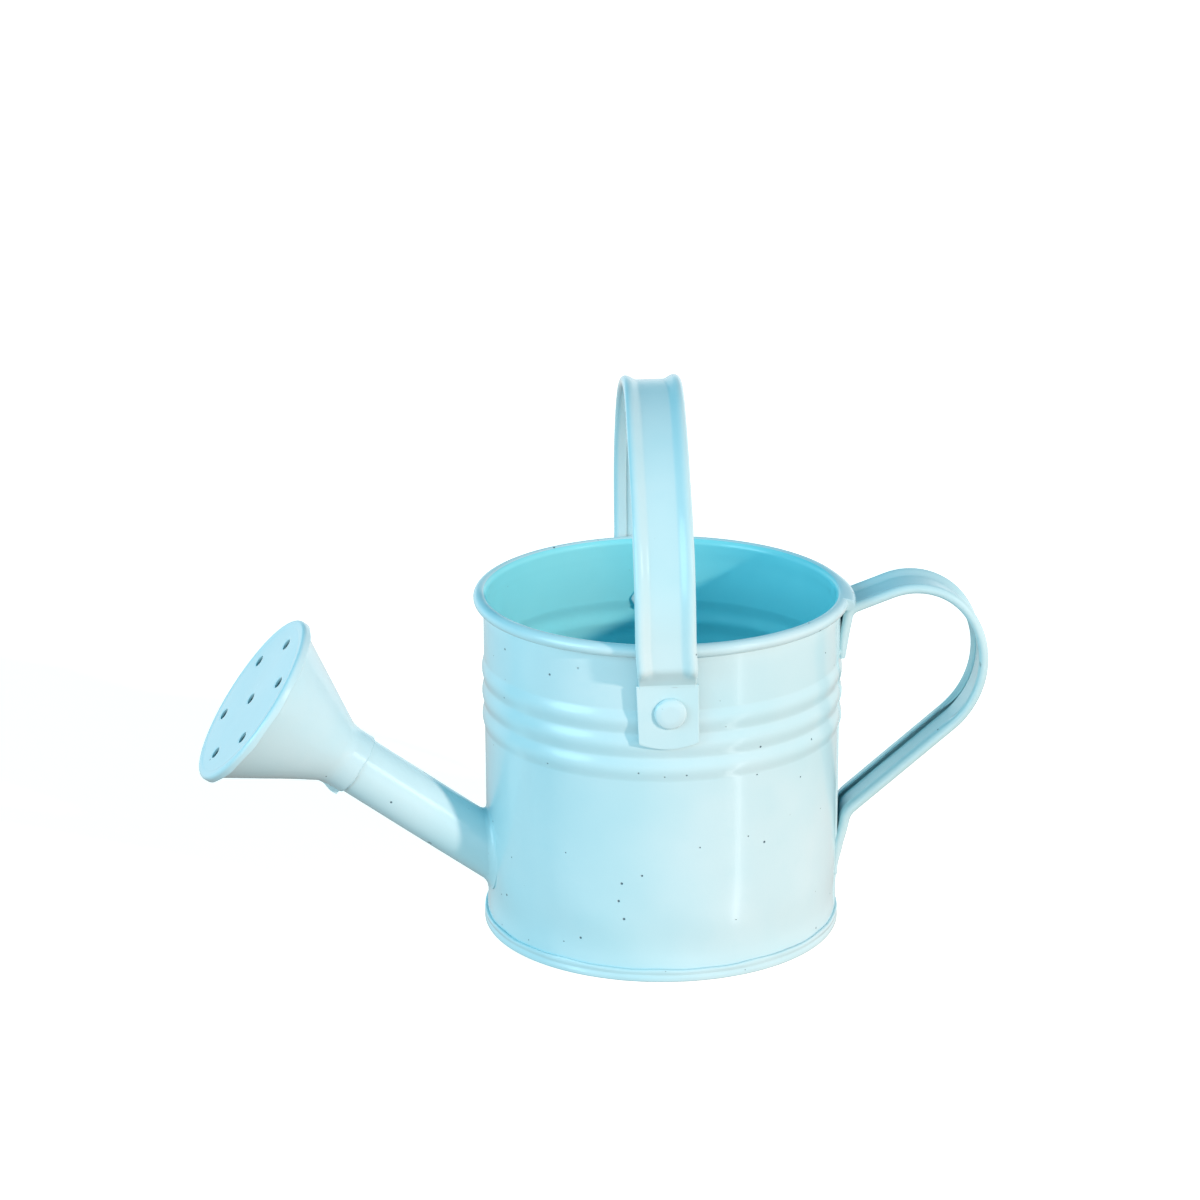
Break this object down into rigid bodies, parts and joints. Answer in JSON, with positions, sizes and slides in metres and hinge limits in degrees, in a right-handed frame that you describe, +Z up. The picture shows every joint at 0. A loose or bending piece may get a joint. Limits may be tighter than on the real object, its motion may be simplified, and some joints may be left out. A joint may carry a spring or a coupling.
{
  "type": "watering can",
  "caption": "Small painted tinplate watering can with a beaded round body, a spout with a slip-on rose, a swinging bail and a fixed looped side handle.",
  "frame": {"origin": "centre of the can's foot, on the plane it stands on", "axes": "+Z up, +X towards the side handle, the bail's hinge along Y, the spout roughly towards -X"},
  "size_m": [0.2229, 0.1122, 0.1583],
  "materials": {
    "can_paint": "gloss",
    "rose_paint": "gloss",
    "handle_paint": "gloss",
    "rivet_paint": "gloss"
  },
  "bodies": {
    "can": {"body_wall": "can_paint", "base_plate": "can_paint", "spout_tube": "can_paint", "spout_solder": "can_paint", "side_handle": "handle_paint", "front_rivet": "rivet_paint", "back_rivet": "rivet_paint"},
    "bail": {"bail_handle": "handle_paint"},
    "rose": {"rose_cone": "rose_paint", "rose_face": "rose_paint"}
  },
  "joints": [
    {"name": "bail_swing", "type": "hinge", "parent": "can", "child": "bail", "pos_m": [-0.002, 0, 0.0795], "axis": [0, 1, 0], "range_deg": [-99, 68]},
    {"name": "rose_pull_off", "type": "slide", "parent": "can", "child": "rose", "axis": [-0.7982, -0.0952, 0.5948], "range_m": [0, 0.012]}
  ]
}
